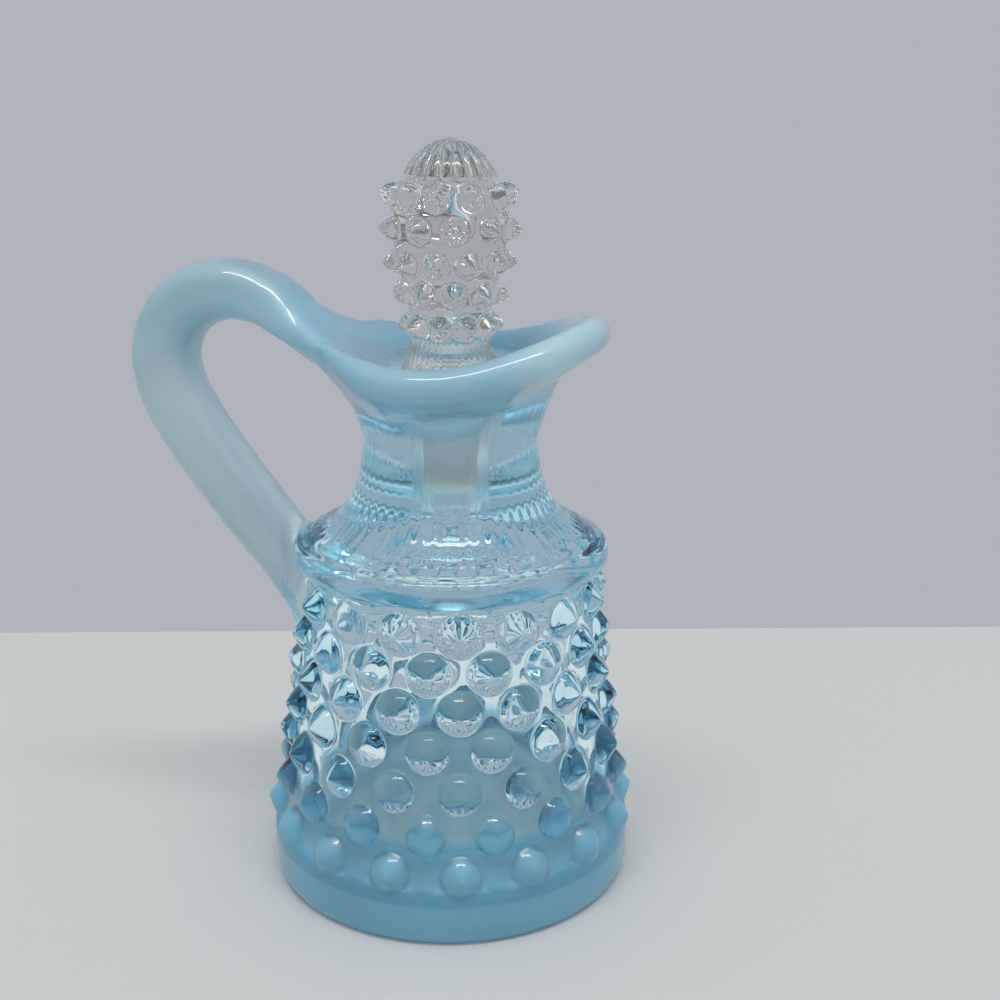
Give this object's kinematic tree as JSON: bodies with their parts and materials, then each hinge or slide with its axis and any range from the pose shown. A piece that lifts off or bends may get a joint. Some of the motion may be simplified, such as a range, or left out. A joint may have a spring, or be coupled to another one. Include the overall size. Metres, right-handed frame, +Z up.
{
  "type": "glass cruet with stopper",
  "caption": "Small pressed-glass cruet with a hobbed body, shoulder ring, fluted neck, pouring lip, looped handle and lift-out glass stopper.",
  "frame": {"origin": "middle of the flat underside of the foot, on the axis of the body", "axes": "+Z up along the axis of the body and stopper, -X towards the handle, +X towards the spout"},
  "size_m": [0.0847, 0.064, 0.121],
  "materials": {
    "blue_glass": "fire-polished pale blue glass, milky at foot and lip",
    "opal_glass": "fire-polished milky blue glass",
    "clear_glass": "clear colourless glass with a ground shank"
  },
  "bodies": {
    "jug": {"vessel": "blue_glass", "handle": "opal_glass"},
    "plug": {"stopper": "clear_glass"}
  },
  "joints": [
    {"name": "stopper_lift", "type": "slide", "parent": "jug", "child": "plug", "axis": [0, 0, 1], "range_m": [0, 0.045]}
  ]
}
